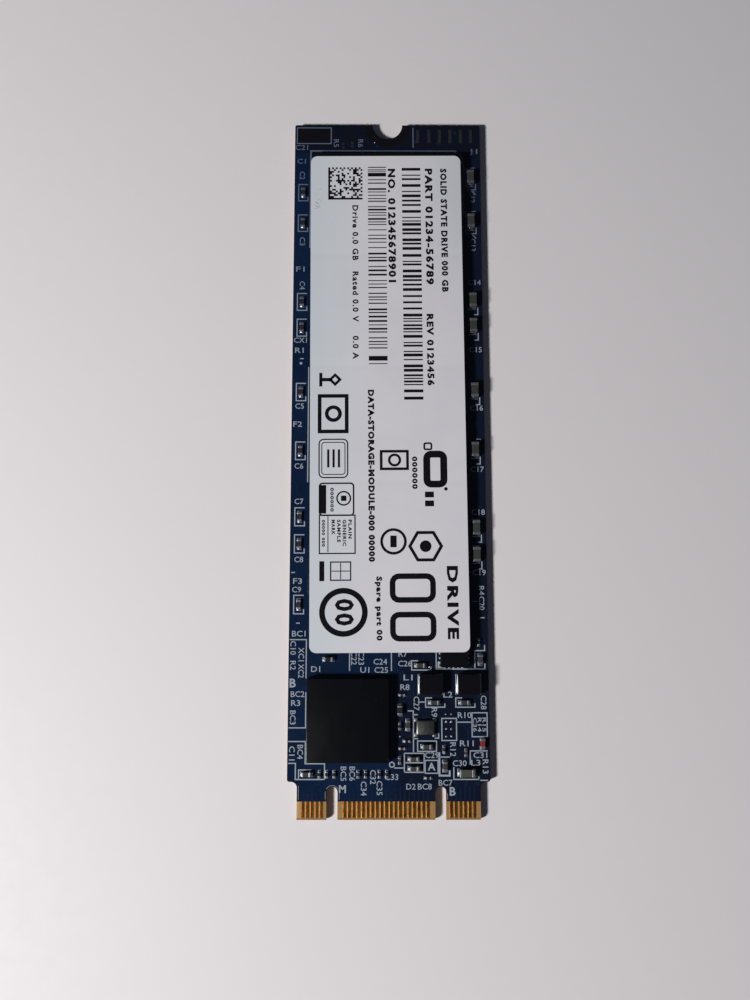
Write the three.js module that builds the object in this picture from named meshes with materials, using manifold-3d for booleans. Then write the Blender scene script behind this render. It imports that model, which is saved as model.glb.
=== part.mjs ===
// A solid state drive: a bare M.2 2280 circuit board with B and M key slots, flash memory under a
// thin label, a controller chip, power parts and small ceramic chips.
// Millimetres, +Z up. The origin is the centre of the board's underside. +Y runs from the gold edge
// contacts to the screw notch, and +X is to the right when the board is seen from above with its
// contacts at the bottom.

import * as THREE from 'three';
import { mergeVertices } from 'three/addons/utils/BufferGeometryUtils.js';
import Module from 'manifold-3d';

const wasm = await Module();
wasm.setup();

// ---- Driving dimensions ----

const BOARD = { width: 22, length: 80, thickness: 0.8, cornerRadius: 0.25 };
const TONGUE = { width: 19.85, length: 4, filletRadius: 0.65, bevelRun: 0.25, bevelRise: 0.18 };
const KEY_SLOT = { width: 1.2, depth: 3.5, mKeyX: -6.125, bKeyX: 5.625 };
const NOTCH = { radius: 1.75, ringRadius: 2.75, copper: 0.04 };

// Pin n stands at half its distance from pin 38, in contact pitches. Odd pins are on top, even ones below.
const CONTACT = { pitch: 0.5, width: 0.35, length: 1.7, thickness: 0.04, tieWidth: 0.2, middlePin: 38 };
const CONTACT_BLOCKS = [
  { name: 'top_contacts_left', firstPin: 67, lastPin: 75, onTop: true },
  { name: 'top_contacts_middle', firstPin: 21, lastPin: 57, onTop: true },
  { name: 'top_contacts_right', firstPin: 1, lastPin: 11, onTop: true },
  { name: 'bottom_contacts_left', firstPin: 68, lastPin: 74, onTop: false },
  { name: 'bottom_contacts_middle', firstPin: 20, lastPin: 58, onTop: false },
  { name: 'bottom_contacts_right', firstPin: 2, lastPin: 10, onTop: false },
];

const FLASH = { width: 17.7, depth: 12, body: 0.95, joint: 0.25, inset: 0.9 };
const FLASH_ROW = { count: 4, x: -0.09, topY: 29.9, pitch: 13.25 };
const LABEL = { width: 17.55, length: 57.6, thickness: 0.1, corner: 0.75, x: -0.06, y: 6.6 };
// The label is stuck on a little crooked.
const LABEL_TURN = 0.0063;

const CONTROLLER = { width: 9, depth: 9, body: 0.9, joint: 0.2, inset: 0.5, x: -4.45, y: -29.45 };
const REGULATOR = { width: 3, depth: 3, height: 0.85, corner: 0.06, x: 7.2, y: -22.3 };
const PACKAGE_SUBSTRATE = { height: 0.2, overhang: 0.05 };
const INDUCTOR = { width: 2.5, depth: 2.2, height: 1.2, corner: 0.35, y: -25.65, leftX: 4.55, rightX: 8.75 };
const CRYSTAL = { width: 2, depth: 1.6, base: 0.3, lid: 0.2, lidInset: 0.12, x: 4, y: -30.25 };

// Sizes of the small ceramic chips: length, width and height, and how far the metal cap wraps each end.
const CHIP_SIZES = {
  small: { length: 0.6, width: 0.3, height: 0.3, cap: 0.15 },
  medium: { length: 1.0, width: 0.5, height: 0.5, cap: 0.23 },
  thin: { length: 1.0, width: 0.5, height: 0.3, cap: 0.23 },
  large: { length: 1.6, width: 0.8, height: 0.8, cap: 0.3 },
};
const CAP_STEP = 0.01;

const LEFT_COLUMN_X = -9.95;
const LEFT_COLUMN_Y = [31.45, 27.65, 18, 14.9, 7.25, 0.4, -7.15, -10.2, -16.95];

const RIGHT_COLUMN = [
  { x: 9.75, y: 33.2 },
  { x: 9.75, y: 27.75 },
  { x: 9.85, y: 18.1 },
  { x: 9.85, y: 15.05 },
  { x: 9.9, y: 7.4 },
  { x: 9.85, y: 0.5 },
  { x: 9.85, y: -8.4 },
  { x: 9.85, y: -11.4 },
];

// A chip is a capacitor that lies along X unless it says otherwise.
const LOWER_CHIPS = [
  { name: 'label_edge_resistor', size: 'medium', x: -6.6, y: -22.95, kind: 'resistor' },
  { name: 'regulator_input_capacitor', size: 'medium', x: 3.5, y: -23.6 },
  { name: 'regulator_side_capacitor', size: 'medium', x: 10.1, y: -22.95, upright: true },
  { name: 'inductor_1_output_capacitor', size: 'medium', x: 5, y: -27.6 },
  { name: 'inductor_2_output_capacitor', size: 'medium', x: 8.3, y: -27.6 },
  { name: 'controller_side_resistor', size: 'medium', x: 1.25, y: -28.4, upright: true, kind: 'resistor' },
  { name: 'status_light', size: 'medium', x: 10.2, y: -31.95, upright: true, kind: 'light' },
  { name: 'crystal_load_capacitor', size: 'medium', x: 4.15, y: -32.3 },
  { name: 'filter_capacitor_1', size: 'medium', x: 2.75, y: -33.6 },
  { name: 'filter_capacitor_2', size: 'medium', x: 2.75, y: -34.6 },
  { name: 'filter_capacitor_3', size: 'medium', x: 6.1, y: -34.35, upright: true },
  { name: 'supply_capacitor', size: 'large', x: 8.45, y: -35.05 },
  { name: 'corner_capacitor', size: 'medium', x: -8.9, y: -35.2 },
];

const SMALL_RESISTOR_Y = -35.2;
const SMALL_RESISTOR_X = [-7.5, -6.7, -5.9, -3.3, -2.5, -1.0, -0.2];

// Each arc is cut into twice this many straight steps.
const ARC_STEPS = 10;
const SMALL_ARC_STEPS = 3;
const CHAMFER_STEPS = 1;
const CUT_OVERRUN = 0.2;

// ---- Materials ----

function material(color, roughness, metalness) {
  return new THREE.MeshStandardMaterial({ color, roughness, metalness });
}

const makeMaterial = {
  board: () => material(0x10264a, 0.35, 0),
  gold: () => material(0xb98a4a, 0.3, 1),
  plating: () => material(0x8c8578, 0.35, 1),
  label: () => material(0xd4d4da, 0.5, 0),
  mould: () => material(0x17171b, 0.6, 0),
  solder: () => material(0xb8bac0, 0.35, 1),
  ferrite: () => material(0x1e1f26, 0.7, 0),
  lid: () => material(0xa7a59f, 0.3, 1),
  capacitor: () => material(0x6e6559, 0.5, 0),
  resistor: () => material(0x24242a, 0.5, 0),
  light: () => material(0x9a2a22, 0.4, 0),
};

// ---- Solid helpers ----

function toSolid(geometry) {
  const bare = new THREE.BufferGeometry();
  bare.setAttribute('position', geometry.attributes.position);
  if (geometry.index) bare.setIndex(geometry.index);
  const merged = mergeVertices(bare, 1e-5);
  const vertProperties = new Float32Array(merged.attributes.position.array);
  const triVerts = new Uint32Array(merged.index.array);
  return new wasm.Manifold(new wasm.Mesh({ numProp: 3, vertProperties, triVerts }));
}

function toGeometry(solid) {
  const { vertProperties, triVerts } = solid.getMesh();
  const geometry = new THREE.BufferGeometry();
  geometry.setAttribute('position', new THREE.BufferAttribute(vertProperties, 3));
  geometry.setIndex(new THREE.BufferAttribute(triVerts, 1));
  return geometry;
}

// An upright slab of the outline, from one height to another.
function slab(shape, fromZ, toZ, curveSegments = ARC_STEPS) {
  const depth = toZ - fromZ;
  const geometry = new THREE.ExtrudeGeometry(shape, { depth, bevelEnabled: false, curveSegments });
  return geometry.translate(0, 0, fromZ);
}

// A box from the heights of its two faces and its centre in plan.
function block(width, depth, fromZ, toZ, x = 0, y = 0) {
  const geometry = new THREE.BoxGeometry(width, depth, toZ - fromZ);
  return geometry.translate(x, y, (fromZ + toZ) / 2);
}

function union(geometries) {
  return geometries.map(toSolid).reduce((sum, solid) => sum.add(solid));
}

// A rectangle centred on the origin with rounded corners.
function roundedRectangle(width, depth, corner) {
  const shape = new THREE.Shape();
  const right = width / 2 - corner;
  const top = depth / 2 - corner;
  const quarter = Math.PI / 2;
  shape.absarc(right, -top, corner, -quarter, 0, false);
  shape.absarc(right, top, corner, 0, quarter, false);
  shape.absarc(-right, top, corner, quarter, 2 * quarter, false);
  shape.absarc(-right, -top, corner, 2 * quarter, 3 * quarter, false);
  return shape;
}

// ---- Circuit board ----

const endY = -BOARD.length / 2;
const screwEndY = BOARD.length / 2;
const shoulderY = endY + TONGUE.length;

function keySlot(shape, centreX) {
  const radius = KEY_SLOT.width / 2;
  const arcY = endY + KEY_SLOT.depth - radius;
  shape.lineTo(centreX - radius, endY);
  shape.lineTo(centreX - radius, arcY);
  shape.absarc(centreX, arcY, radius, Math.PI, 0, true);
  shape.lineTo(centreX + radius, endY);
}

function boardOutline() {
  const side = BOARD.width / 2;
  const tongue = TONGUE.width / 2;
  const corner = BOARD.cornerRadius;
  const fillet = TONGUE.filletRadius;
  const quarter = Math.PI / 2;
  const shape = new THREE.Shape();
  shape.moveTo(-tongue, endY);
  keySlot(shape, KEY_SLOT.mKeyX);
  keySlot(shape, KEY_SLOT.bKeyX);
  shape.lineTo(tongue, endY);
  shape.lineTo(tongue, shoulderY - fillet);
  shape.absarc(tongue + fillet, shoulderY - fillet, fillet, 2 * quarter, quarter, true);
  shape.absarc(side - corner, shoulderY + corner, corner, -quarter, 0, false);
  shape.absarc(side - corner, screwEndY - corner, corner, 0, quarter, false);
  shape.absarc(0, screwEndY, NOTCH.radius, 0, -2 * quarter, true);
  shape.absarc(corner - side, screwEndY - corner, corner, quarter, 2 * quarter, false);
  shape.absarc(corner - side, shoulderY + corner, corner, 2 * quarter, 3 * quarter, false);
  shape.absarc(-tongue - fillet, shoulderY - fillet, fillet, quarter, 0, true);
  shape.closePath();
  return shape;
}

// The wedge that bevels one edge of the tongue's end: side is 1 for the top edge and -1 for the bottom one.
function tongueBevel(side) {
  const middle = BOARD.thickness / 2;
  const face = middle + side * middle;
  const run = TONGUE.bevelRun;
  const rise = side * TONGUE.bevelRise;
  const wedge = new THREE.Shape();
  wedge.moveTo(endY - run, face - 2 * rise);
  wedge.lineTo(endY + 2 * run, face + rise);
  wedge.lineTo(endY - run, face + rise);
  const geometry = new THREE.ExtrudeGeometry(wedge, { depth: BOARD.width, bevelEnabled: false });
  const alongX = new THREE.Matrix4().makeBasis(
    new THREE.Vector3(0, 1, 0), new THREE.Vector3(0, 0, 1), new THREE.Vector3(1, 0, 0));
  return toSolid(geometry.applyMatrix4(alongX).translate(-BOARD.width / 2, 0, 0));
}

function boardSolid() {
  let board = toSolid(slab(boardOutline(), 0, BOARD.thickness));
  for (const side of [1, -1]) board = board.subtract(tongueBevel(side));
  for (const contacts of CONTACT_BLOCKS) board = board.subtract(contactSolid(contacts, CUT_OVERRUN));
  return board.subtract(platingPocket());
}

// ---- Edge contacts: gold pads let in flush, joined at their inner ends by a tie strip ----

const pinX = (pin) => (CONTACT.middlePin - pin) * CONTACT.pitch / 2;

function contactSolid({ firstPin, lastPin, onTop }, overrun = 0) {
  const outerFace = onTop ? BOARD.thickness : 0;
  const innerFace = onTop ? outerFace - CONTACT.thickness : CONTACT.thickness;
  const pastFace = onTop ? outerFace + overrun : -overrun;
  const low = Math.min(innerFace, pastFace);
  const high = Math.max(innerFace, pastFace);
  const padBottom = endY + TONGUE.bevelRun;
  const tieTop = padBottom + CONTACT.length + CONTACT.tieWidth;
  const tieWidth = pinX(firstPin) - pinX(lastPin) + CONTACT.width;
  const tieX = (pinX(firstPin) + pinX(lastPin)) / 2;
  const pieces = [block(tieWidth, CONTACT.tieWidth, low, high, tieX, tieTop - CONTACT.tieWidth / 2)];
  for (let pin = firstPin; pin <= lastPin; pin += 2) {
    pieces.push(block(CONTACT.width, tieTop - padBottom, low, high, pinX(pin), (tieTop + padBottom) / 2));
  }
  return union(pieces);
}

// ---- Plating of the screw notch: a half ring on each face, joined by the lining of the half hole ----

// The half ring, or in full when it is to cut the board, so that the cut runs past the board's edge.
function ringShape(innerRadius, outerRadius, full = false) {
  const shape = new THREE.Shape();
  if (full) {
    shape.absarc(0, screwEndY, outerRadius, -Math.PI, 0, false);
    shape.absarc(0, screwEndY, outerRadius, 0, Math.PI, false);
    return shape;
  }
  shape.moveTo(-outerRadius, screwEndY);
  shape.absarc(0, screwEndY, outerRadius, -Math.PI, 0, false);
  shape.absarc(0, screwEndY, innerRadius, 0, -Math.PI, true);
  return shape;
}

function platingSolid() {
  const { radius, ringRadius, copper } = NOTCH;
  const top = BOARD.thickness;
  return union([
    slab(ringShape(radius, ringRadius), 0, copper),
    slab(ringShape(radius, ringRadius), top - copper, top),
    slab(ringShape(radius, radius + copper), 0, top),
  ]);
}

function platingPocket() {
  const { radius, ringRadius, copper } = NOTCH;
  const top = BOARD.thickness;
  const halves = slab(ringShape(0, ringRadius, true), -CUT_OVERRUN, copper);
  const upper = slab(ringShape(0, ringRadius, true), top - copper, top + CUT_OVERRUN);
  const lining = slab(ringShape(0, radius + copper, true), -CUT_OVERRUN, top + CUT_OVERRUN);
  return union([halves, upper, lining]);
}

// ---- Chips and parts ----

// A moulded package: the substrate at the bottom stands out a little around the black cap.
function packageSolid(width, depth, bottomZ, topZ) {
  const { height, overhang } = PACKAGE_SUBSTRATE;
  return union([
    block(width, depth, bottomZ, bottomZ + height),
    block(width - 2 * overhang, depth - 2 * overhang, bottomZ, topZ),
  ]);
}

function regulatorSolid() {
  const shape = roundedRectangle(REGULATOR.width, REGULATOR.depth, REGULATOR.corner);
  return toSolid(slab(shape, 0, REGULATOR.height, CHAMFER_STEPS));
}

function inductorSolid() {
  const shape = roundedRectangle(INDUCTOR.width, INDUCTOR.depth, INDUCTOR.corner);
  return toSolid(slab(shape, 0, INDUCTOR.height, CHAMFER_STEPS));
}

function crystalSolid() {
  const { width, depth, base, lid, lidInset } = CRYSTAL;
  const lidShape = roundedRectangle(width - 2 * lidInset, depth - 2 * lidInset, lidInset);
  return union([block(width, depth, 0, base), slab(lidShape, 0, base + lid, SMALL_ARC_STEPS)]);
}

// A ceramic chip with its length along X, and a metal cap around each end.
function ceramicChip({ length, width, height, cap }) {
  const capX = (length - cap) / 2;
  return union([
    block(length - cap, width - 2 * CAP_STEP, CAP_STEP, height - CAP_STEP),
    block(cap, width, 0, height, -capX),
    block(cap, width, 0, height, capX),
  ]);
}

// ---- Assembly ----

const group = new THREE.Group();
const components = new THREE.Group();
components.position.z = BOARD.thickness;
group.add(components);

function addMesh(parent, name, solid, meshMaterial, x = 0, y = 0, turn = 0) {
  const mesh = new THREE.Mesh(toGeometry(solid), meshMaterial);
  mesh.name = name;
  mesh.position.set(x, y, 0);
  mesh.rotation.z = turn;
  parent.add(mesh);
}

function addBoard() {
  addMesh(group, 'circuit_board', boardSolid(), makeMaterial.board());
  addMesh(group, 'screw_notch_plating', platingSolid(), makeMaterial.plating());
  for (const contacts of CONTACT_BLOCKS) {
    addMesh(group, contacts.name, contactSolid(contacts), makeMaterial.gold());
  }
}

function addPackage(name, jointName, { width, depth, body, joint, inset }, x, y) {
  const joints = toSolid(block(width - 2 * inset, depth - 2 * inset, 0, joint));
  addMesh(components, jointName, joints, makeMaterial.solder(), x, y);
  addMesh(components, name, packageSolid(width, depth, joint, joint + body), makeMaterial.mould(), x, y);
}

function addFlashAndLabel() {
  for (let i = 0; i < FLASH_ROW.count; i += 1) {
    const y = FLASH_ROW.topY - i * FLASH_ROW.pitch;
    addPackage(`flash_memory_${i + 1}`, `flash_solder_joints_${i + 1}`, FLASH, FLASH_ROW.x, y);
  }
  const flashTop = FLASH.joint + FLASH.body;
  const outline = roundedRectangle(LABEL.width, LABEL.length, LABEL.corner);
  const labelTop = flashTop + LABEL.thickness;
  const label = toSolid(slab(outline, flashTop, labelTop, SMALL_ARC_STEPS));
  addMesh(components, 'product_label', label, makeMaterial.label(), LABEL.x, LABEL.y, LABEL_TURN);
}

function addControllerAndPower() {
  addPackage('controller_chip', 'controller_solder_joints', CONTROLLER, CONTROLLER.x, CONTROLLER.y);
  const black = makeMaterial.mould();
  addMesh(components, 'power_regulator_chip', regulatorSolid(), black, REGULATOR.x, REGULATOR.y);
  [INDUCTOR.leftX, INDUCTOR.rightX].forEach((x, i) => {
    addMesh(components, `power_inductor_${i + 1}`, inductorSolid(), makeMaterial.ferrite(), x, INDUCTOR.y);
  });
  addMesh(components, 'crystal_oscillator', crystalSolid(), makeMaterial.lid(), CRYSTAL.x, CRYSTAL.y);
}

function addChip(name, size, kind, x, y, upright) {
  const turn = upright ? Math.PI / 2 : 0;
  addMesh(components, name, ceramicChip(CHIP_SIZES[size]), makeMaterial[kind](), x, y, turn);
}

function addCeramicChips() {
  LEFT_COLUMN_Y.forEach((y, i) => {
    addChip(`left_capacitor_${i + 1}`, 'thin', 'capacitor', LEFT_COLUMN_X, y, true);
  });
  RIGHT_COLUMN.forEach(({ x, y }, i) => {
    addChip(`right_capacitor_${i + 1}`, 'large', 'capacitor', x, y, true);
  });
  for (const { name, size, x, y, kind = 'capacitor', upright = false } of LOWER_CHIPS) {
    addChip(name, size, kind, x, y, upright);
  }
  SMALL_RESISTOR_X.forEach((x, i) => {
    addChip(`small_resistor_${i + 1}`, 'small', 'resistor', x, SMALL_RESISTOR_Y, true);
  });
}

addBoard();
addFlashAndLabel();
addControllerAndPower();
addCeramicChips();

export default group;
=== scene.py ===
import random
from math import cos, pi, radians, sin, sqrt

import bmesh
import bpy
from mathutils import Matrix, Vector


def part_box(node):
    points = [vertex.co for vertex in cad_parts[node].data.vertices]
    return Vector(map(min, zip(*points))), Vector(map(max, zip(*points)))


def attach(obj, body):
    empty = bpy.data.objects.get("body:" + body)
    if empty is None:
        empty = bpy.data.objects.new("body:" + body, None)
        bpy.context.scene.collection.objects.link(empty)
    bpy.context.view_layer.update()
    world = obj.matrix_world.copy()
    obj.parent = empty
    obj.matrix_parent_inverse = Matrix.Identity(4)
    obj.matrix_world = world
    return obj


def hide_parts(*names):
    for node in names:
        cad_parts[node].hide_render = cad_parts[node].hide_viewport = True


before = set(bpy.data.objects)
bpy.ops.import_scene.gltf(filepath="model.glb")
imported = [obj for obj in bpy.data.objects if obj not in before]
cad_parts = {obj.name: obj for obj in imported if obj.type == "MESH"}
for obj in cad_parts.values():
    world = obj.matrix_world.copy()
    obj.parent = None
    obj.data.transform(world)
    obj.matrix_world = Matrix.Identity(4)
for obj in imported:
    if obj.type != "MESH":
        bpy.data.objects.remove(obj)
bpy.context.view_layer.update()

# The scene is a bare M.2 2280 solid state drive lying chips up on a pale table. Every place below is in
# millimetres in the row frame (origin under the board's centre, +Y to the screw notch, +Z up), and
# becomes metres where a mesh is made. Only the stage at the end is in metres.

MM = 0.001
RNG_SEED = 2280
BODY = "root"


def node_box(node):
    """Lowest and highest corner of a CAD node, in millimetres."""
    low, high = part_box(node)
    return low / MM, high / MM


BOARD_LOW, BOARD_HIGH = node_box("circuit_board")
LABEL_LOW, LABEL_HIGH = node_box("product_label")
TOP = BOARD_HIGH.z
COMB_STRIP = 0.2
MASK_EDGE = node_box("top_contacts_middle")[1].y - COMB_STRIP


# ---- Materials ----

WAVE_RADIANS = 20  # a wave texture of scale 1 turns through this angle in every unit


class Finish:
    """A node material under construction, with short names for the nodes it uses most.

    Texture coordinates are the object's own, and since every piece sits at the origin they are places
    in the row frame. Scales are given in features per millimetre."""

    def __init__(self, name):
        self.material = bpy.data.materials.new(name)
        self.material.use_nodes = True
        self.tree = self.material.node_tree
        self.tree.nodes.clear()
        self.shader = self.node("BsdfPrincipled")
        self.node("OutputMaterial", Surface=self.shader.outputs["BSDF"])
        self.place = self.node("TexCoord").outputs["Object"]

    def feed(self, socket, value):
        """Links a socket to another node's output, or sets it to a number or a colour."""
        if isinstance(value, bpy.types.NodeSocket):
            self.tree.links.new(value, socket)
        elif socket.type == "RGBA":
            socket.default_value = (*value, 1.0)
        else:
            socket.default_value = value

    def fill(self, node, inputs):
        for name, value in inputs.items():
            self.feed(node.inputs[name.replace("_", " ")], value)

    def node(self, kind, **inputs):
        """A new node. Its inputs are named with underscores for spaces."""
        node = self.tree.nodes.new(f"ShaderNode{kind}")
        self.fill(node, inputs)
        return node

    def set(self, **inputs):
        self.fill(self.shader, inputs)

    def noise(self, per_mm, detail=3.0, roughness=0.55, stretch=None):
        place = self.place
        if stretch:
            place = self.node("Mapping", Vector=place, Scale=stretch).outputs["Vector"]
        node = self.node("TexNoise", Vector=place, Scale=per_mm / MM, Detail=detail, Roughness=roughness)
        return node.outputs["Fac"]

    def cells(self, per_mm):
        return self.node("TexVoronoi", Vector=self.place, Scale=per_mm / MM).outputs["Distance"]

    def waves(self, per_mm, direction, distortion):
        scale = per_mm / MM * 2 * pi / WAVE_RADIANS
        node = self.node("TexWave", Vector=self.place, Scale=scale, Distortion=distortion)
        node.bands_direction = direction
        return node.outputs["Fac"]

    def calc(self, operation, a, b=0.0):
        node = self.node("Math")
        node.operation = operation
        self.feed(node.inputs[0], a)
        self.feed(node.inputs[1], b)
        return node.outputs["Value"]

    def span(self, value, low, high, to_low=0.0, to_high=1.0):
        """Carries the value from one range over to another, and keeps it inside that."""
        node = self.node("MapRange", Value=value, From_Min=low, From_Max=high, To_Min=to_low, To_Max=to_high)
        return node.outputs["Result"]

    def blend(self, share, a, b):
        """Colour a where the share is 0, and b where it is 1."""
        node = self.node("Mix", Factor=share)
        node.data_type = "RGBA"
        colours = [socket for socket in node.inputs if socket.type == "RGBA"]
        self.feed(colours[0], a)
        self.feed(colours[1], b)
        return next(socket for socket in node.outputs if socket.type == "RGBA")

    def part_of(self, vector, axis):
        return self.node("SeparateXYZ", Vector=vector).outputs[axis]

    def along(self, axis):
        return self.part_of(self.place, axis)

    def ramp(self, axis, start, stop, to_low=0.0, to_high=1.0):
        """A share that changes between two places along an axis, in millimetres."""
        return self.span(self.along(axis), start * MM, stop * MM, to_low, to_high)

    def facing(self, axis):
        """1 on faces square to an axis and 0 on faces along it."""
        return self.calc("ABSOLUTE", self.part_of(self.node("NewGeometry").outputs["Normal"], axis))

    def bump(self, height, depth_mm, strength, over=None):
        """Raises the surface by a pattern, on top of an earlier bump's normals when they are given."""
        node = self.node("Bump", Height=height, Distance=depth_mm * MM, Strength=strength)
        if over is not None:
            self.feed(node.inputs["Normal"], over)
        self.set(Normal=node.outputs["Normal"])
        return node.outputs["Normal"]

    def rough(self, pattern, low, high):
        self.set(Roughness=self.span(pattern, 0.3, 0.7, low, high))


def mask_colour(f):
    """Blue mask, with painted shade that makes it darker and greyer on the right and along the screw end."""
    wander = f.calc("MULTIPLY", f.noise(0.35, 2), 2 * MM)
    # painted shade: a wandering ramp darkens the mask towards the right, and another darkens it along the
    # screw end
    beside = f.span(f.calc("ADD", f.along("X"), wander), 0.6 * MM, 2.6 * MM, 0.0, 0.75)
    painted_shade = f.calc("MAXIMUM", beside, f.ramp("Y", 36.2, 37.0))
    broad = f.span(f.noise(0.12, 2), 0.35, 0.65)
    blue = f.blend(broad, (0.0022, 0.0105, 0.036), (0.0032, 0.014, 0.045))
    blue = f.blend(painted_shade, blue, (0.0042, 0.0052, 0.013))
    return f.blend(f.span(f.noise(1.3, 4), 0.45, 0.75, 0.0, 0.5), blue, (0.004, 0.0085, 0.018))


def cut_colour(f):
    """The board's sawn edge: brown plies with dark specks."""
    plies = f.span(f.waves(5.5, "Z", 0.6), 0.2, 0.8)
    cut = f.blend(plies, (0.19, 0.11, 0.035), (0.33, 0.2, 0.07))
    return f.blend(f.span(f.noise(9), 0.5, 0.75), cut, (0.05, 0.032, 0.018))


def board_finish():
    """Blue solder mask over laminate: bare glass weave near the contacts, and plies on the cut edges."""
    skin = 0.03
    f = Finish("solder_mask_on_laminate")
    weave = f.calc("MULTIPLY", f.waves(3.3, "X", 2.5), f.waves(3.3, "Y", 2.5))
    bare = f.blend(f.span(weave, 0.1, 0.7), (0.3, 0.162, 0.048), (0.35, 0.195, 0.062))
    # painted light: the bare laminate is drawn lighter along the tongue's left edge, which faces the key
    # light
    bare = f.blend(f.ramp("X", -9.9, -9.4, 0.75, 0.0), bare, (0.56, 0.36, 0.14))
    in_bare = f.calc("LESS_THAN", f.along("Y"), MASK_EDGE * MM)
    from_middle = f.calc("ABSOLUTE", f.calc("SUBTRACT", f.along("Z"), TOP / 2 * MM))
    on_skin = f.calc("GREATER_THAN", from_middle, (TOP / 2 - skin) * MM)
    flat = f.calc("MAXIMUM", f.calc("GREATER_THAN", f.facing("Z"), 0.9), on_skin)
    f.set(Base_Color=f.blend(flat, cut_colour(f), f.blend(in_bare, mask_colour(f), bare)))
    smooth = f.span(f.noise(0.7, 4), 0.3, 0.7, 0.18, 0.26)
    rough = f.calc("MAXIMUM", smooth, f.calc("MULTIPLY", in_bare, 0.55))
    f.set(Roughness=f.span(flat, 0.0, 1.0, 0.8, rough))
    ripple = f.bump(f.noise(3.5), 0.012, 0.35)
    f.bump(f.calc("MULTIPLY", weave, f.span(in_bare, 0, 1, 0.25, 1.0)), 0.008, 0.5, ripple)
    return f.material


def traced_finish():
    """Solder mask where it runs over copper: a little lighter than the mask beside it."""
    f = Finish("solder_mask_on_copper")
    f.set(Base_Color=f.blend(f.noise(1.5), (0.004, 0.014, 0.04), (0.0055, 0.018, 0.05)))
    f.rough(f.noise(2.5), 0.18, 0.25)
    f.bump(f.noise(6, 2), 0.006, 0.4)
    return f.material


def gold_finish():
    """Gold plating with the fine lengthwise rub marks a socket leaves."""
    f = Finish("gold_plating")
    rub = f.noise(7, 4, 0.6, (1, 0.05, 1))
    stain = f.span(f.noise(1.1, 4), 0.4, 0.72)
    worn = f.blend(rub, (0.5, 0.185, 0.022), (0.64, 0.285, 0.05))
    f.set(Metallic=1.0, Base_Color=f.blend(stain, worn, (0.32, 0.1, 0.02)))
    f.set(Roughness=f.span(rub, 0.25, 0.75, 0.27, 0.38))
    f.bump(rub, 0.006, 0.6)
    return f.material


def metal_finish(name, low, high, rough_low, rough_high, per_mm=6.0, depth=0.006):
    """Tin, solder, nickel or plated copper: mottled, with shallow dents."""
    f = Finish(name)
    mottle = f.noise(per_mm, 4)
    f.set(Metallic=1.0, Base_Color=f.blend(f.span(mottle, 0.3, 0.7), low, high))
    f.rough(f.noise(per_mm * 1.7), rough_low, rough_high)
    f.bump(mottle, depth, 0.5)
    return f.material


def mould_finish(name="moulding_compound", base=(0.0028, 0.0032, 0.0042), pale=(0.0055, 0.0055, 0.0068)):
    """Black epoxy with fine filler grain, a satin sheen and a few pale specks of dust."""
    f = Finish(name)
    grain = f.noise(22)
    body = f.blend(f.span(grain, 0.35, 0.75), base, pale)
    dust = f.calc("LESS_THAN", f.cells(1.6), 0.035)
    f.set(Base_Color=f.blend(f.calc("MULTIPLY", dust, 0.5), body, (0.09, 0.09, 0.1)))
    f.set(Specular_IOR_Level=0.3)
    f.rough(f.noise(0.35, 2), 0.22, 0.28)
    f.bump(grain, 0.006, 0.4)
    return f.material


def ceramic_finish(name, low, high, rough=0.42):
    """Fired ceramic: faintly layered and grainy."""
    f = Finish(name)
    layers = f.waves(9, "Z", 2.0)
    grain = f.noise(14, 4)
    body = f.blend(f.span(grain, 0.3, 0.7), low, high)
    f.set(Base_Color=f.blend(f.calc("MULTIPLY", layers, 0.25), body, low))
    f.rough(grain, rough - 0.07, rough + 0.07)
    f.bump(grain, 0.006, 0.5)
    return f.material


def label_finish():
    """White polyester film: a faint orange peel and soft mottling, darker and cooler towards the left, with
    painted shade that darkens and cools the far right.
    """
    f = Finish("label_film")
    fibre = f.noise(8)
    white = f.blend(f.span(f.noise(0.25), 0.3, 0.7), (0.63, 0.62, 0.655), (0.665, 0.65, 0.685))
    white = f.blend(f.ramp("X", -8.8, -2, 0.75, 0.0), white, (0.54, 0.6, 0.64))
    # painted shade: the film is drawn darker and bluer towards the top right
    painted_shade_far_right = f.calc("MULTIPLY", f.ramp("X", 3, 8), f.ramp("Y", 14, 30))
    white = f.blend(painted_shade_far_right, white, (0.54, 0.56, 0.6))
    specks = f.calc("MULTIPLY", f.span(fibre, 0.55, 0.8), 0.25)
    f.set(Base_Color=f.blend(specks, white, (0.52, 0.52, 0.54)))
    f.rough(fibre, 0.4, 0.52)
    peel = f.bump(f.noise(1.4, 2), 0.01, 0.25)
    f.bump(fibre, 0.003, 0.3, peel)
    return f.material


def ink_finish(name, low, high, rough, far=None):
    """Printed ink, thinner in places. The last argument, when given, is painted shade: the dimmer colour the
    ink is drawn in at the screw end.
    """
    f = Finish(name)
    f.set(Specular_IOR_Level=0.3)
    colour = f.blend(f.span(f.noise(11), 0.45, 0.75), low, high)
    if far is not None:
        # painted shade: the ink is drawn dimmer and bluer towards the screw end
        colour = f.blend(f.ramp("Y", 8, 30), colour, far)
    f.set(Base_Color=colour)
    f.rough(f.noise(5, 2), rough - 0.06, rough + 0.06)
    f.bump(f.noise(16, 2), 0.002, 0.4)
    return f.material


def lens_finish():
    """The red cast lens of the status light."""
    f = Finish("red_lens")
    f.set(Base_Color=f.blend(f.noise(5, 2), (0.2, 0.02, 0.018), (0.28, 0.03, 0.028)))
    f.set(Subsurface_Weight=0.2, Subsurface_Radius=(0.0004, 0.0001, 0.0001))
    f.rough(f.noise(9, 2), 0.18, 0.3)
    f.bump(f.noise(6, 2), 0.004, 0.3)
    return f.material


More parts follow.
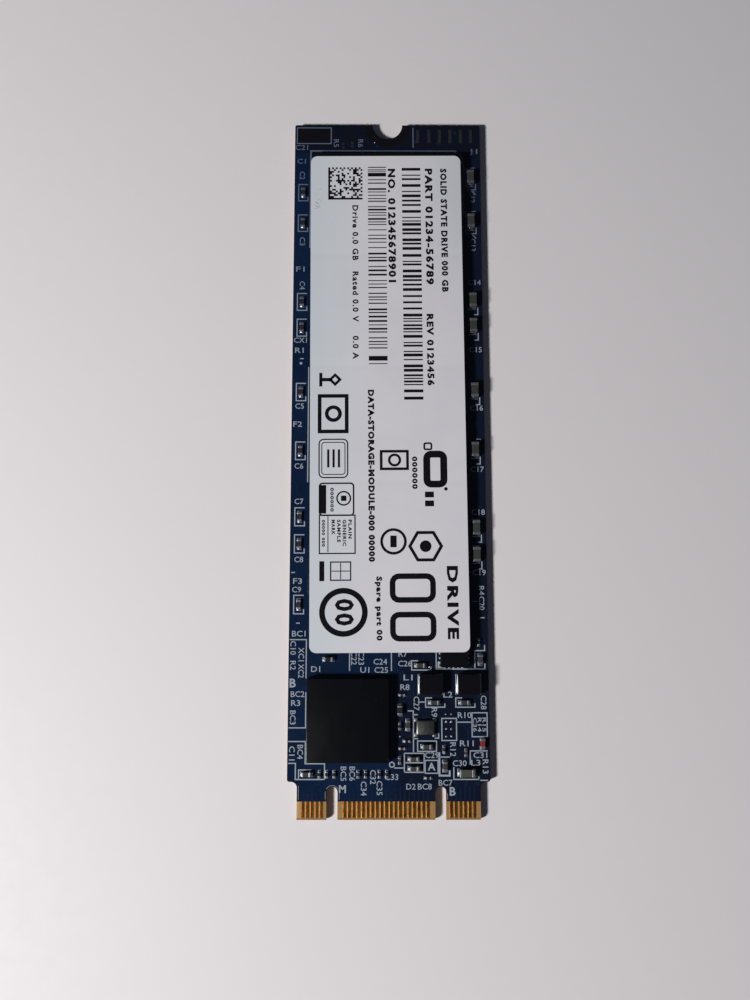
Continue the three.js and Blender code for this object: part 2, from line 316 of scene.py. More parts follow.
def table_finish():
    """Matt pale plastic or paint, hardly mottled."""
    f = Finish("pale_table")
    f.set(Base_Color=f.blend(f.noise(0.03), (0.7, 0.672, 0.685), (0.72, 0.69, 0.7)))
    f.rough(f.noise(0.5), 0.55, 0.65)
    f.bump(f.noise(1.2), 0.01, 0.15)
    return f.material


MASK = board_finish()
TRACED = traced_finish()
GOLD = gold_finish()
PLATED = metal_finish("notch_plating", (0.1, 0.09, 0.1), (0.16, 0.14, 0.14), 0.14, 0.22, 2.5)
TIN = metal_finish("tin", (0.5, 0.5, 0.51), (0.72, 0.72, 0.73), 0.3, 0.44)
SOLDER = metal_finish("solder", (0.3, 0.31, 0.33), (0.5, 0.51, 0.54), 0.34, 0.48, 4.0, 0.02)
BEAD = metal_finish("solder_bead", (0.4, 0.41, 0.43), (0.62, 0.63, 0.66), 0.22, 0.36, 4.0, 0.02)
LID = metal_finish("plated_lid", (0.2, 0.2, 0.19), (0.28, 0.275, 0.26), 0.3, 0.4, 3.0)
MOULD = mould_finish()
SUBSTRATE = mould_finish("package_substrate", (0.004, 0.012, 0.007), (0.01, 0.022, 0.013))
FERRITE = mould_finish("ferrite", (0.003, 0.003, 0.0045), (0.007, 0.0065, 0.009))
CERAMIC = ceramic_finish("capacitor_ceramic", (0.032, 0.031, 0.03), (0.047, 0.046, 0.043))
DARK_CERAMIC = ceramic_finish("dark_ceramic", (0.008, 0.012, 0.02), (0.016, 0.02, 0.03))
OLIVE = ceramic_finish("olive_ceramic", (0.05, 0.053, 0.036), (0.078, 0.08, 0.056))
GLAZE = ceramic_finish("resistor_glaze", (0.009, 0.009, 0.012), (0.022, 0.022, 0.026), 0.3)
ALUMINA = ceramic_finish("alumina", (0.26, 0.26, 0.25), (0.36, 0.355, 0.34))
FILM = label_finish()
INK = ink_finish("black_ink", (0.004, 0.0035, 0.005), (0.01, 0.009, 0.012), 0.3)
# the white legend's last colour is painted shade: dimmer and bluer at the screw end
LEGEND = ink_finish("white_legend", (0.27, 0.31, 0.36), (0.4, 0.44, 0.49), 0.6, (0.095, 0.12, 0.185))
LENS = lens_finish()


# ---- Mesh helpers ----

CAPITAL_TO_SIZE = 1.38
OVERLAP = 0.01
RIM_RISE = 0.004


def placed(name, data):
    """A new object of the scene that carries the data."""
    holder = bpy.data.objects.new(name, data)
    bpy.context.scene.collection.objects.link(holder)
    return holder


def paint(faces, slot, smooth=False):
    for face in faces:
        face.material_index = slot
        face.smooth = smooth


class Piece:
    """A mesh under construction. Each part added to it takes a material by its place in `materials`."""

    def __init__(self, *materials):
        self.mesh = bmesh.new()
        self.materials = materials

    def block(self, low, high, slot=0, bevel=0.0, segments=2):
        """A box between two corners, its edges rounded."""
        before = set(self.mesh.faces)
        made = bmesh.ops.create_cube(self.mesh, size=1.0)["verts"]
        for vert in made:
            vert.co = Vector(l + (c + 0.5) * (h - l) for l, c, h in zip(low, vert.co, high))
        if bevel:
            edges = {edge for vert in made for edge in vert.link_edges}
            bmesh.ops.bevel(self.mesh, geom=list(edges), offset=bevel, segments=segments,
                            affect="EDGES", profile=0.5, clamp_overlap=True)
        paint([face for face in self.mesh.faces if face not in before], slot)

    def layer(self, box, inset, low, high, slot=0, bevel=0.0, segments=2):
        """A block over a box's footprint, drawn in on every side, between two heights."""
        near, far = box
        self.block((near.x + inset, near.y + inset, low), (far.x - inset, far.y - inset, high),
                   slot, bevel, segments)

    def crossbar(self, x0, x1, half_width, low, high, slot=0, bevel=0.0, segments=2):
        """A block between two places along X, evenly on both sides of the X axis."""
        self.block((min(x0, x1), -half_width, low), (max(x0, x1), half_width, high), slot, bevel, segments)

    def loft(self, rings, slot=0, smooth=False, closed=False):
        """A skin through rings of points. Both ends are capped, or the last ring meets the first."""
        rings = [[self.mesh.verts.new(point) for point in ring] for ring in rings]
        faces = []
        if closed:
            rings.append(rings[0])
        else:
            faces = [self.mesh.faces.new(rings[0][::-1]), self.mesh.faces.new(rings[-1])]
        for near, far in zip(rings, rings[1:]):
            for i in range(len(near)):
                faces.append(self.mesh.faces.new((near[i - 1], near[i], far[i], far[i - 1])))
        paint(faces, slot, smooth)

    def band(self, inner, outer, low, high, closed=True):
        """A slab between two outlines with the same number of points, as a ring or an open strip."""
        self.loft([[(ax, ay, low), (bx, by, low), (bx, by, high), (ax, ay, high)]
                   for (ax, ay), (bx, by) in zip(inner, outer)], closed=closed)

    def dimple(self, x, y, inner, outer, steps, top):
        """The faint raised rim of a round mark on a package, sunk a little into its top."""
        self.band(circle(x, y, inner, steps), circle(x, y, outer, steps), top - OVERLAP, top + RIM_RISE)

    def add_mesh(self, mesh):
        before = set(self.mesh.faces)
        self.mesh.from_mesh(mesh)
        paint([face for face in self.mesh.faces if face not in before], 0)

    def settle(self, low, turn=0.0):
        """Turns the mesh about the Z axis, then moves it from the origin to a place."""
        place = Matrix.Translation(low) @ Matrix.Rotation(radians(turn), 4, "Z")
        bmesh.ops.transform(self.mesh, matrix=place, verts=self.mesh.verts)

    def finish(self, name, slot_name, *replaced, smooth_angle=None):
        """Makes the mesh an object of the scene, in place of the CAD nodes it replaces."""
        bmesh.ops.recalc_face_normals(self.mesh, faces=self.mesh.faces)
        bmesh.ops.scale(self.mesh, vec=(MM, MM, MM), verts=self.mesh.verts)
        data = bpy.data.meshes.new(name)
        self.mesh.to_mesh(data)
        self.mesh.free()
        for material in self.materials:
            data.materials.append(material)
        if smooth_angle is not None:
            data.shade_smooth()
            data.set_sharp_from_angle(angle=radians(smooth_angle))
        piece = placed(name, data)
        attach(piece, BODY)
        if replaced:
            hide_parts(*replaced)


def at_height(points, z):
    return [(x, y, z) for x, y in points]


def circle(x, y, radius, steps=24, start=0.0, stop=360.0):
    """Points round a circle, or along an arc with both its ends."""
    whole = abs(stop - start) >= 360
    last = steps if whole else steps - 1
    angles = [radians(start + (stop - start) * i / last) for i in range(steps)]
    return [(x + radius * cos(a), y + radius * sin(a)) for a in angles]


def rounded(x0, y0, x1, y1, radius, steps=5):
    """The outline of a rectangle with round corners, counter-clockwise."""
    points = []
    corners = ((x1 - radius, y0 + radius, -90), (x1 - radius, y1 - radius, 0),
               (x0 + radius, y1 - radius, 90), (x0 + radius, y0 + radius, 180))
    for x, y, start in corners:
        points += circle(x, y, radius, steps, start, start + 90)
    return points


def offset_path(points, distance, closed):
    """The path moved sideways, to the left when the distance is positive, with mitred corners."""
    moved = []
    count = len(points)
    for i, point in enumerate(points):
        here = Vector(point)
        before = Vector(points[i - 1]) if closed or i else None
        after = Vector(points[(i + 1) % count]) if closed or i < count - 1 else None
        ways = [(b - a).normalized() for a, b in ((before, here), (here, after)) if a and b]
        normals = [Vector((-way.y, way.x)) for way in ways]
        middle = sum(normals, Vector((0, 0))).normalized()
        moved.append(tuple(here + middle * distance / max(0.4, middle.dot(normals[0]))))
    return moved


def text_mesh(text, height, weight, thickness, spacing):
    """A mesh of the text in Blender's own typeface, centred on the origin, capitals `height` tall."""
    curve = bpy.data.curves.new("lettering", "FONT")
    curve.body = text
    curve.size = height * CAPITAL_TO_SIZE
    curve.align_x, curve.align_y = "CENTER", "CENTER"
    curve.extrude = thickness / 2
    curve.offset = weight
    curve.space_character = spacing
    curve.resolution_u = 2
    carrier = placed("lettering", curve)
    depsgraph = bpy.context.evaluated_depsgraph_get()
    mesh = bpy.data.meshes.new_from_object(carrier.evaluated_get(depsgraph))
    bpy.data.objects.remove(carrier)
    bpy.data.curves.remove(curve)
    return mesh


class Print:
    """A layer of strokes, frames, discs and text of one thickness, on a top face or under the board."""

    def __init__(self, material, thickness, low=TOP, under=False):
        self.piece = Piece(material)
        self.low, self.high = (-thickness, 0.0) if under else (low, low + thickness)
        self.under = under

    def stroke(self, points, width, closed=False):
        left = offset_path(points, width / 2, closed)
        right = offset_path(points, -width / 2, closed)
        self.piece.band(left, right, self.low, self.high, closed)

    def bar(self, x0, y0, x1, y1, bevel=0.0):
        self.piece.block((x0, y0, self.low), (x1, y1, self.high), bevel=bevel)

    def disc(self, x, y, radius, steps=20):
        rim = circle(x, y, radius, steps)
        self.piece.loft([at_height(rim, self.low), at_height(rim, self.high)])

    def ring(self, x, y, radius, width, steps=36, start=0.0, stop=360.0):
        inner = circle(x, y, radius - width / 2, steps, start, stop)
        outer = circle(x, y, radius + width / 2, steps, start, stop)
        self.piece.band(inner, outer, self.low, self.high, abs(stop - start) >= 360)

    def frame(self, x0, y0, x1, y1, width, radius=0.0):
        outline = rounded(x0, y0, x1, y1, radius) if radius else [(x0, y0), (x1, y0), (x1, y1), (x0, y1)]
        self.stroke(outline, width, closed=True)

    def polygon(self, x, y, radius, corners, width, turn=90.0):
        self.stroke(circle(x, y, radius, corners, turn, turn + 360), width, closed=True)

    def text(self, text, x, y, height, turn=0.0, weight=0.0, length=None, spacing=1.0):
        """Text centred on a point, stretched to a length along its line when one is given."""
        mesh = text_mesh(text, height, weight, self.high - self.low, spacing)
        across = [vert.co.x for vert in mesh.vertices]
        upright = [vert.co.y for vert in mesh.vertices]
        centre = Vector((max(across) + min(across), max(upright) + min(upright), 0)) / 2
        stretch = length / (max(across) - min(across)) if length else 1.0
        mirror = -1 if self.under else 1
        place = Matrix.Translation((x, y, (self.low + self.high) / 2))
        size = Matrix.Diagonal((stretch * mirror, 1, 1, 1))
        turned = Matrix.Rotation(radians(turn), 4, "Z")
        mesh.transform(place @ turned @ size @ Matrix.Translation(-centre))
        self.piece.add_mesh(mesh)
        bpy.data.meshes.remove(mesh)


# ---- Bare board: contacts, copper under the mask, holes ----

CONTACT_BLOCKS = ("left", "middle", "right")
PAD_PITCH = 0.5
PAD_WIDTH = 0.35
PAD_PROUD = 0.012
TRACE_WIDTH = 0.13
TRACE_RISE = 0.012
LAND_RISE = 0.018
VIA_RADIUS = 0.22
BALL_STEPS = 10
DOME_LEVELS = 4
HOLE_BEADS = [(x, y) for x in (6.3, 6.85) for y in (-29.65, -30.4, -31.2)]
SMALL_BEADS = ((6.25, -28.85), (6.85, -28.85), (5.95, -26.6), (4.55, -23.75), (1.0, -35.6), (-1.5, 37.8),
               (1.2, -32.5), (1.2, -30.4), (1.25, -31.2), (6.05, -32.3), (6.1, -33.0), (2.35, -33.6))
SCREW_END_LANDS = [(x, 38.6) for x in (3.6, 4.95, 6.2, 7.45, 8.7, 9.9)]
EMPTY_LANDS = ((-5.25, 37.15), (-5.25, 37.62), (-4.2, 37.3), (-4.2, 37.77))
TEST_POINTS = 9


def dress_board():
    """The board and its notch plating keep their CAD shapes and get their own finishes."""
    for node, material in (("circuit_board", MASK), ("screw_notch_plating", PLATED)):
        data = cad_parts[node].data
        data.materials.clear()
        data.materials.append(material)


def pad_edges(node):
    """The left edge of every pad in one block of contacts."""
    low, high = node_box(node)
    count = round((high.x - low.x - PAD_WIDTH) / PAD_PITCH) + 1
    return [low.x + i * PAD_PITCH for i in range(count)]


def contact_pads(side, part):
    """Separate gold pads in place of one comb, with the strip behind them covered by mask."""
    node = f"{side}_contacts_{part}"
    low, high = node_box(node)
    bottom, top = (low.z, high.z + PAD_PROUD) if side == "top" else (low.z - PAD_PROUD, high.z)
    pads = Piece(GOLD)
    for x in pad_edges(node):
        pads.block((x, low.y, bottom), (x + PAD_WIDTH, MASK_EDGE, top), bevel=0.007)
    pads.finish(f"{node}_pads", "gold", node)
    strip = Piece(MASK)
    strip.block((low.x, MASK_EDGE, low.z), high)
    strip.finish(f"{node}_mask", "board", node)


class Copper:
    """Tracks and vias that show as a slight rise in the mask, and the bare metal beside them."""

    def __init__(self, under=False):
        self.tracks = Print(TRACED, TRACE_RISE, under=under)
        self.beads = Print(BEAD, LAND_RISE, under=under)
        self.lands = Print(LID, LAND_RISE, under=under)

    def track(self, *points):
        self.tracks.stroke(points, TRACE_WIDTH)

    def bus(self, count, pitch, *points):
        """Tracks side by side along one path."""
        for i in range(count):
            self.track(*offset_path(points, (i - (count - 1) / 2) * pitch, False))

    def via(self, x, y, radius):
        self.tracks.ring(x, y, radius * 0.7, radius * 0.6, steps=16)

    def dome(self, x, y, radius):
        """A bead of solder in a hole: a low dome that catches the light."""
        rings = []
        for i in range(DOME_LEVELS):
            angle = pi / 2 * i / DOME_LEVELS
            rim = circle(x, y, radius * cos(angle), BALL_STEPS)
            rings.append(at_height(rim, self.beads.high + radius * 0.7 * sin(angle)))
        self.beads.piece.loft(rings, smooth=True)

    def land(self, x, y, width, height):
        self.lands.bar(x - width / 2, y - height / 2, x + width / 2, y + height / 2, bevel=0.006)

    def finish(self, side):
        """Makes a piece of each layer that holds anything."""
        for layer, name, slot_name in ((self.tracks, "tracks", "board"), (self.beads, "beads", "solder"),
                                       (self.lands, "lands", "plating")):
            if len(layer.piece.mesh.faces):
                layer.piece.finish(f"{side}_{name}", slot_name)


def fan_out(copper, side, rng):
    """A track from behind each contact, half of them ending in a via."""
    for part in CONTACT_BLOCKS:
        for edge in pad_edges(f"{side}_contacts_{part}"):
            x = edge + PAD_WIDTH / 2
            bend = MASK_EDGE + rng.choice((0.7, 1.1, 1.5, 1.9))
            lean = rng.choice((-0.25, 0.0, 0.25))
            copper.track((x, MASK_EDGE), (x, bend), (x + lean, bend + abs(lean) + 0.01))
            if rng.random() < 0.5:
                copper.via(x + lean, bend + abs(lean), 0.17)


def scatter_vias(copper, rng, x0, y0, x1, y1, spacing, share):
    """Vias on a loose grid, some left out."""
    columns = max(1, round((x1 - x0) / spacing))
    rows = max(1, round((y1 - y0) / spacing))
    for i in range(columns):
        for j in range(rows):
            x = x0 + (i + rng.uniform(0.25, 0.75)) * (x1 - x0) / columns
            y = y0 + (j + rng.uniform(0.25, 0.75)) * (y1 - y0) / rows
            if rng.random() < share:
                copper.via(x, y, rng.choice((0.17, VIA_RADIUS)))


def top_copper():
    rng = random.Random(RNG_SEED)
    copper = Copper()
    fan_out(copper, "top", rng)
    edge = BOARD_LOW.x + 0.3
    for y in (24.2, 11.4, 2.4, -3.9, -13.2, -19.4):
        copper.track((edge, y + 0.9), (edge + 0.45, y + 0.45), (edge + 0.45, y - 0.5), (edge + 1.3, y - 1.35))
    copper.bus(3, 0.3, (1.0, -22.3), (1.0, -24.2), (2.4, -25.6), (2.4, -27.2))
    copper.bus(3, 0.35, (7.6, -29.0), (9.0, -30.4), (9.0, -31.6))
    copper.bus(2, 0.3, (-8.3, -36.1), (-6.5, -36.1), (-5.9, -35.4), (-5.6, -34.4))
    scatter_vias(copper, rng, -10.8, -36.0, -9.2, 36.5, 1.7, 0.45)
    scatter_vias(copper, rng, 9.2, -33.5, 10.8, 36.5, 1.9, 0.4)
    scatter_vias(copper, rng, 0.5, -36.8, 10.5, -22.5, 1.3, 0.45)
    scatter_vias(copper, rng, -6.5, 36.9, 8.5, 39.6, 1.5, 0.3)
    for places, width, height in ((SCREW_END_LANDS, 0.36, 1.7), (EMPTY_LANDS, 0.3, 0.26)):
        for x, y in places:
            copper.land(x, y, width, height)
    for places, radius in ((HOLE_BEADS, 0.14), (SMALL_BEADS, 0.11)):
        for x, y in places:
            copper.dome(x, y, radius)
    copper.finish("top")


def under_copper():
    """The underside is hidden in use, so its routing is a plain, typical one."""
    rng = random.Random(RNG_SEED + 1)
    copper = Copper(under=True)
    fan_out(copper, "bottom", rng)
    for i, x in enumerate((-8.2, -5.2, 5.0, 8.0)):
        copper.bus(5, 0.28, (x, -33.5), (x, -12), (x + 1.5, -10.5), (x + 1.5, 30 - 6 * i))
    copper.bus(8, 0.28, (-3.5, -33), (-3.5, -24), (0.5, -20), (0.5, 5), (-1.5, 7), (-1.5, 33))
    copper.bus(3, 0.3, (-9.9, -34), (-9.9, 35), (-8.4, 36.5), (-4.5, 36.5))
    copper.bus(3, 0.3, (9.9, -34), (9.9, 34), (8.4, 35.5), (3.4, 35.5))
    scatter_vias(copper, rng, -10.5, -36.5, 10.5, 37.0, 1.55, 0.5)
    for i in range(TEST_POINTS):
        copper.lands.disc(-8 + 2 * i, 34.2 - (i % 2) * 1.2, 0.45)
    for x in (-7, -2.3, 2.3, 7):
        copper.lands.disc(x, -35.6, 0.35)
    copper.finish("underside")


# ---- Reference printing on the board ----

LEGEND_RISE = 0.014
LEGEND_LINE = 0.12
LEGEND_HEIGHT = 0.64
LEGEND_PER_LETTER = 0.5
LEGEND_WEIGHT = 0.006
LETTER_WEIGHT = 0.03
CHIP_MARGIN_X = 0.3
CHIP_MARGIN_Y = 0.52

# Places and turns of the reference names of each kind, in the order of their numbers.
REFERENCE_NAMES = {
    "C": ((-10.2, 35.4), (-10.1, 33.6, -90), (-10.0, 25.4, -90), (-9.95, 20.0, -90), (-10.1, 5.6),
          (-10.1, -1.35), (-10.05, -5.4), (-10.0, -11.95), (-10.2, -15.3), (-10.5, -21.7, -90),
          (-10.5, -33.0, -90), (10.0, 31.0, -90), (10.0, 25.0, -90), (10.1, 20.4), (10.1, 12.3),
          (10.12, 5.4), (10.1, -1.7), (10.13, -6.6), (10.12, -13.4), (10.35, -16.8, -90), (-10.2, 37.15),
          (-3.8, -22.8, -90), (-3.0, -22.8, -90), (-0.9, -23.2), (-0.8, -24.1), (1.8, -23.4),
          (3.05, -27.7, -90), (10.4, -27.6, -90), (4.7, -33.2), (7.7, -34.05), (9.95, -33.2),
          (-1.7, -35.5, -90), (0.3, -35.5), (-2.7, -36.7, -90), (-1.0, -36.65, -90)),
    "F": ((-10.2, 22.0), (-10.3, 3.5), (-10.1, -14.35)),
    "CX": ((-10.1, 13.4),),
    "R": ((-10.2, 12.2), (-10.5, -23.6, -90), (-10.15, -27.65), (10.35, -15.4, -90), (-6.1, 37.7, -90),
          (-3.2, 37.7, -90), (1.6, -22.35), (1.8, -25.95), (5.0, -28.65, -90), (8.3, -28.95), (8.5, -31.95),
          (7.0, -32.6, -90), (10.5, -34.4, -90)),
    "BC": ((-9.9, -20.15), (-9.95, -26.7), (-10.45, -29.2, -90), (-9.6, -32.85, -90), (-4.9, -35.15, -90),
           (-3.95, -35.15, -90), (6.15, -36.1), (3.9, -36.5)),
    "XC": ((-9.6, -22.4, -90), (-9.6, -24.2, -90)),
    "J": ((10.2, 36.6),),
    "U": ((-2.6, -24.1),),
    "D": ((-8.0, -24.0), (2.4, -36.5)),
    "L": ((2.15, -24.9), (6.5, -26.75), (9.45, -34.0)),
}
FIELD_LETTERS = (("B", -10.5, -25.5, 0.95), ("M", -5.0, -36.75, 0.8), ("B", 6.9, -37.0, 0.9))


class Legend(Print):
    """White printing on the board: part outlines, and reference letters with running numbers."""

    def __init__(self, under=False):
        super().__init__(LEGEND, LEGEND_RISE, under=under)
        self.numbers = {}

    def name(self, kind, x, y, turn=0.0, height=LEGEND_HEIGHT):
        number = self.numbers.get(kind, 0) + 1
        self.numbers[kind] = number
        word = f"{kind}{number}"
        self.text(word, x, y, height, turn, LEGEND_WEIGHT, length=LEGEND_PER_LETTER * len(word))

    def line(self, *points, width=LEGEND_LINE):
        self.stroke(points, width)

    def lines(self, *paths):
        for path in paths:
            self.line(*path)

    def ticks(self, half, *places):
        """Short level lines centred on the places."""
        for x, y in places:
            self.line((x - half, y), (x + half, y))

    def chip_bracket(self, node):
        """Three sides of a box round an upright chip, with a short tick back up the fourth."""
        low, high = node_box(node)
        left, right = low.x - CHIP_MARGIN_X, high.x + CHIP_MARGIN_X
        bottom, top = low.y - CHIP_MARGIN_Y, high.y + CHIP_MARGIN_Y
        self.line((right, top), (left, top), (left, bottom), (right, bottom), (right, bottom + 0.5))

    def chip_corner(self, node):
        """A corner mark below an upright chip."""
        low, high = node_box(node)
        right, bottom = high.x + 0.2, low.y - 0.8
        self.line((right, bottom + 0.85), (right, bottom), (right - 0.45, bottom))

    def chip_tray(self, node):
        """A box round a flat-lying chip, open along most of its top."""
        low, high = node_box(node)
        left, right = low.x - 0.45, high.x + 0.65
        bottom, top = low.y - 0.25, high.y + 0.25
        self.line((left + 0.7, top), (left, top), (left, bottom), (right, bottom), (right, bottom + 0.4))


def flash_outline(legend):
    """The line round the whole row of memory packages: a chamfered corner at the top right."""
    left, right, top = -9.1, 8.95, 36.72
    chamfer = 0.9
    legend.line((left, 24.6), (left, top), (right - chamfer, top), (right, top - chamfer), (right, 28.6),
                width=0.16)
    legend.line((left, 10.2), (left, -3.2))


def left_edge_lines(legend):
    edge = BOARD_LOW.x + 0.1
    inner = -9.05
    for i in range(1, 10):
        legend.chip_bracket(f"left_capacitor_{i}")
    low, high = node_box("corner_capacitor")
    legend.lines(((edge, -20.8), (inner, -20.8), (inner, -25.0)),
                 ((inner, -26.5), (inner, -30.3), (edge, -30.3)),
                 ((edge, -31.75), (inner, -31.75), (inner, -34.1), (-6.95, -34.1), (-6.95, -35.75)),
                 ((-6.95, -35.75), (-10.1, -35.75), (-10.1, -34.05), (edge, -34.05)),
                 ((high.x, high.y + 0.2), (low.x - 0.35, high.y + 0.2), (low.x - 0.35, low.y - 0.25)))
    legend.disc(-10.0, 10.65, 0.16)
    legend.ticks(0.2, (-9.9, 11.2), (-10.6, -13.4), (-10.0, -19.0))


def right_edge_lines(legend):
    for i in (1, 2):
        low, high = node_box(f"right_capacitor_{i}")
        left, right = low.x - 0.15, high.x + 0.25
        top, bottom = high.y + 0.6, low.y - 0.55
        legend.line((right, top), (left, top), (left, bottom), (right, bottom), (right, bottom + 0.9))
        legend.line((right - 0.5, bottom - 0.1), (right, bottom - 0.6))
    for i in range(3, 9):
        legend.chip_corner(f"right_capacitor_{i}")
    legend.ticks(0.25, (10.3, 1.75), (9.6, -16.6), (10.4, -18.4))


def top_edge_lines(legend):
    """A framed dark field, and the line beside the row of lands."""
    field = (-10.75, 37.65, -6.7, 39.65)
    legend.frame(*field, LEGEND_LINE)
    legend.line((3.05, 37.15), (3.05, 39.7))
    dark = Print(INK, LEGEND_RISE / 2)
    dark.bar(*field)
    dark.piece.finish("screw_end_field", "board")


def power_lines(legend):
    """Round the regulator, its inductors and their capacitors, between the label and the crystal."""
    for node in ("regulator_input_capacitor", "inductor_1_output_capacitor", "inductor_2_output_capacitor"):
        legend.chip_tray(node)
    low, high = node_box("power_regulator_chip")
    left, right, bottom = low.x - 0.2, high.x - 0.2, low.y - 0.2
    legend.lines(((-4.28, -22.2), (-4.28, -24.2)),
                 ((0.32, -22.2), (0.32, -24.2)),
                 ((left - 0.25, high.y), (left - 0.25, bottom), (10.7, bottom)),
                 ((10.6, -21.4), (10.6, -22.0), (9.5, -22.0), (9.5, -24.0)),
                 ((10.6, -23.4), (10.6, -24.0)),
                 ((3.3, -27.55), (3.95, -27.55)),
                 ((7.4, -29.7), (9.1, -29.7)))
    for path in (((left, bottom + 0.8), (left, bottom + 0.2), (left + 0.5, bottom + 0.2)),
                 ((right - 0.55, bottom + 0.2), (right - 0.2, bottom + 0.2)),
                 ((right, bottom + 0.25), (right, bottom + 0.55))):
        legend.line(*path, width=0.2)
    legend.frame(9.1, -31.25, 10.75, -28.7, LEGEND_LINE)
    legend.frame(5.8, -31.65, 7.4, -29.3, LEGEND_LINE)
    for kind, x in (("C", 9.42), ("R", 9.93), ("R", 10.43)):
        legend.name(kind, x, -29.97, -90, 0.42)


def crystal_lines(legend):
    low, high = node_box("crystal_oscillator")
    left, right = low.x - 0.3, high.x + 0.45
    under = low.y - 0.35
    legend.lines(((left - 0.6, -28.5), (left, -28.5), (left, -33.0)),
                 ((left, -28.9), (left + 0.5, -28.9)),
                 ((left, under - 0.05), (left + 0.5, under - 0.05)),
                 ((right - 0.45, under), (right, under), (right, under + 0.5)),
                 ((5.5, -33.4), (6.6, -33.4)),
                 ((10.75, -32.75), (8.85, -32.75), (8.85, -34.2)),
                 ((9.9, -35.85), (10.75, -35.85)))
    low, high = node_box("crystal_load_capacitor")
    legend.frame(low.x - 0.5, low.y - 0.25, high.x + 0.55, high.y + 0.35, LEGEND_LINE)
    for y in (-33.0, -34.0, -35.0):
        legend.line((1.7, y), (3.85, y))
    for x in (1.7, 3.85):
        legend.line((x, -33.0), (x, -35.0))
    legend.frame(3.95, -35.1, 5.35, -33.75, LEGEND_LINE)
    legend.text("A", 4.65, -34.4, 0.8, weight=LETTER_WEIGHT)
    legend.line((5.5, -32.9), (5.5, -35.35), (6.6, -35.35), (6.6, -34.8), width=0.2)
    low, high = node_box("supply_capacitor")
    left, right, bottom = low.x - 0.6, high.x + 0.5, low.y - 0.3
    legend.line((left, high.y + 0.2), (left, bottom), (right, bottom))
    legend.line((right, bottom), (right, bottom + 0.3))


def painted_tongue_glints(legend):
    """Painted highlights: thin pale lines just inside the tongue's left edge and beside the key slots, where
    the mask's edge catches the light.
    """
    thin = 0.04
    for x, top in ((-9.75, -36.4), (-6.85, -37.0), (-5.35, -37.1), (6.35, -37.2)):
        legend.line((x, MASK_EDGE + COMB_STRIP), (x, top), width=thin)
    legend.ring(-6.1, -37.1, 0.72, thin, 14, 30, 150)


def controller_marks(legend):
    """The ring that shows the controller's first corner, and the line below it."""
    legend.ring(0.35, -34.2, 0.26, 0.13)
    legend.line((0.6, -34.55), (1.65, -34.55))


def top_legend():
    legend = Legend()
    for kind, places in REFERENCE_NAMES.items():
        for place in places:
            legend.name(kind, *place)
    for letter, x, y, height in FIELD_LETTERS:
        legend.text(letter, x, y, height, weight=LETTER_WEIGHT)
    for draw in (flash_outline, left_edge_lines, right_edge_lines, top_edge_lines, power_lines,
                 crystal_lines, controller_marks, painted_tongue_glints):
        draw(legend)
    legend.piece.finish("top_legend", "board")


def under_legend():
    """Plain printing for the hidden side: test point numbers, an outline and a row of zeros."""
    legend = Legend(under=True)
    for i in range(TEST_POINTS):
        legend.name("T", -8 + 2 * i, 35.4 - (i % 2) * 0.1)
    for y in (28.5, 15.2, 2.0, -11.3):
        for side in (-1, 1):
            legend.line((side * 9.4, y), (side * 9.4, y - 10.5), (side * 8.0, y - 10.5))
    legend.text("0000000000", 0, 24.0, 1.1, 90, 0.02)
    legend.frame(-3.2, -31.5, 3.2, -26.5, LEGEND_LINE, 0.4)
    for x in (-2, 0, 2):
        legend.bar(x - 0.6, -30.4, x + 0.6, -27.6)
    legend.piece.finish("underside_legend", "board")


# ---- Label ----

LABEL_TURN = radians(0.36)
LABEL_CORNER = 0.75
LABEL_SAG = 0.02
SAG_CUTS = 8
INK_RISE = 0.006
READING_SPACING = 1.22
LABEL_CENTRE = (LABEL_LOW + LABEL_HIGH) / 2
LABEL_HALF = Vector((17.55, 57.6)) / 2
PACKAGES = [node_box(f"flash_memory_{i}") for i in range(1, 5)]
FILM_GAPS = [(lower[1].y, upper[0].y) for upper, lower in zip(PACKAGES, PACKAGES[1:])]


def label_sag(y):
    """How far the film dips at a place along Y where it bridges the gap between two packages."""
    for bottom, top in FILM_GAPS:
        if bottom < y < top:
            return LABEL_SAG * sin(pi * (y - bottom) / (top - bottom)) ** 2
    return 0.0


def label_half_width(v):
    """Half the film's width at a distance v from its middle, less near the round corners."""
    into = abs(v) - (LABEL_HALF.y - LABEL_CORNER)
    if into <= 0:
        return LABEL_HALF.x
    return LABEL_HALF.x - LABEL_CORNER + sqrt(max(0.0, LABEL_CORNER ** 2 - into ** 2))


def label_film():
    """The label as one thin sheet that dips slightly between the packages."""
    columns, corner_rows, rows = 14, 6, 150
    cut = 0.02
    straight = LABEL_HALF.y - LABEL_CORNER
    arc = [straight + LABEL_CORNER * sin(pi / 2 * i / corner_rows)
           for i in range(1, corner_rows + 1)]
    middle = [-straight + 2 * straight * i / rows for i in range(rows + 1)]
    shares = [2 * i / columns - 1 for i in range(columns + 1)]
    turn = Matrix.Rotation(LABEL_TURN, 2)
    rings = []
    for v in [-v for v in reversed(arc)] + middle + arc:
        ring = []
        for inset, height, across in ((0.0, LABEL_LOW.z, shares), (cut, LABEL_HIGH.z, shares[::-1])):
            half = max(label_half_width(v) - inset, 0.05)
            for share in across:
                flat = LABEL_CENTRE.xy + turn @ Vector((half * share, v))
                ring.append((flat.x, flat.y, height - label_sag(flat.y)))
        rings.append(ring)
    piece = Piece(FILM)
    piece.loft(rings)
    piece.finish("product_label_film", "label", "product_label", smooth_angle=30)


